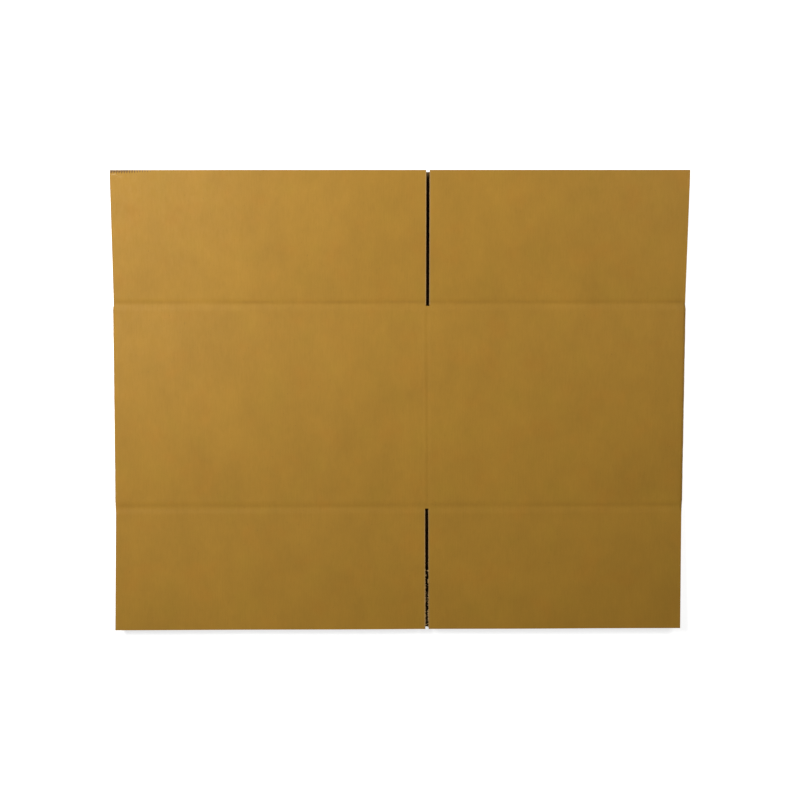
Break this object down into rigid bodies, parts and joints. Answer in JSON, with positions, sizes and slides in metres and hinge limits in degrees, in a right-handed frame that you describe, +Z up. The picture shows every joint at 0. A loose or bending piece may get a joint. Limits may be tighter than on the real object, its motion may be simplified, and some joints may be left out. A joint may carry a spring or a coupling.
{
  "type": "flattened cardboard box",
  "caption": "Plain brown slotted carton of double-wall corrugated board, folded down flat into a sleeve with slots between its flaps.",
  "frame": {"origin": "middle of the footprint, on the surface the flattened carton lies on", "axes": "+X across the panels, +Y from the bottom flaps to the top flaps, +Z up out of the front wall"},
  "size_m": [1.463, 1.171, 0.0456],
  "materials": {
    "kraft_board": "matte brown kraft board"
  },
  "bodies": {
    "root": {"folded_carton": "kraft_board"}
  },
  "joints": []
}
